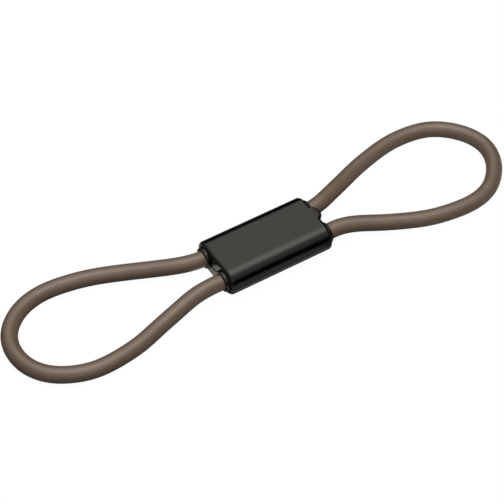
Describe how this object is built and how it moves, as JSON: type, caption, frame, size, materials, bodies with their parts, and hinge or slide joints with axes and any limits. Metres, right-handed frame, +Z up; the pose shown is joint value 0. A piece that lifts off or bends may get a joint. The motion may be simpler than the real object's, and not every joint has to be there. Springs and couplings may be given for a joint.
{
  "type": "window restrictor cable",
  "caption": "Jacketed steel cable drawn into an eye at each end of a flat glossy clamp housing, to limit how far a window opens.",
  "frame": {"origin": "middle of the housing's underside, on the surface the part lies on", "axes": "+X along the housing towards the loop at the thumb tab's end, +Y across the housing, +Z up through the cover"},
  "size_m": [0.2002, 0.05, 0.011],
  "materials": {
    "shell_plastic": "polished black",
    "grommet_rubber": "smooth black",
    "cable_jacket": "satin taupe",
    "wire_rope": "drawn wire",
    "crimp_aluminium": "pressed"
  },
  "bodies": {
    "housing": {"lower_half_shell": "shell_plastic", "left_front_grommet": "grommet_rubber", "left_rear_grommet": "grommet_rubber", "right_front_grommet": "grommet_rubber", "right_rear_grommet": "grommet_rubber", "rear_splice_sleeve": "crimp_aluminium", "front_stop_sleeve": "crimp_aluminium", "left_front_jacket_tail": "cable_jacket", "left_rear_jacket_tail": "cable_jacket", "right_front_jacket_tail": "cable_jacket", "right_rear_jacket_tail": "cable_jacket", "left_front_jacket_neck": "cable_jacket", "left_rear_jacket_neck": "cable_jacket", "right_front_jacket_neck": "cable_jacket", "right_rear_jacket_neck": "cable_jacket", "front_rope_run": "wire_rope", "left_rear_rope_end": "wire_rope", "right_rear_rope_end": "wire_rope"},
    "cover": {"upper_half_shell": "shell_plastic"},
    "left_loop": {"left_loop_jacket": "cable_jacket", "left_loop_rope": "wire_rope"},
    "right_loop": {"right_loop_jacket": "cable_jacket", "right_loop_rope": "wire_rope"}
  },
  "joints": [
    {"name": "cover_lift", "type": "slide", "parent": "housing", "child": "cover", "axis": [0, 0, 1], "range_m": [0, 0.02]},
    {"name": "left_loop_flex", "type": "hinge", "parent": "housing", "child": "left_loop", "pos_m": [-0.02582, 0, 0.0055], "axis": [0, 1, 0], "range_deg": [0, 40], "stiffness_Nm_per_rad": 1, "deforming": ["left_front_jacket_neck", "left_rear_jacket_neck", "front_rope_run", "left_rear_rope_end"]},
    {"name": "right_loop_flex", "type": "hinge", "parent": "housing", "child": "right_loop", "pos_m": [0.02582, 0, 0.0055], "axis": [0, -1, 0], "range_deg": [0, 40], "stiffness_Nm_per_rad": 1, "deforming": ["right_front_jacket_neck", "right_rear_jacket_neck", "front_rope_run", "right_rear_rope_end"]}
  ]
}
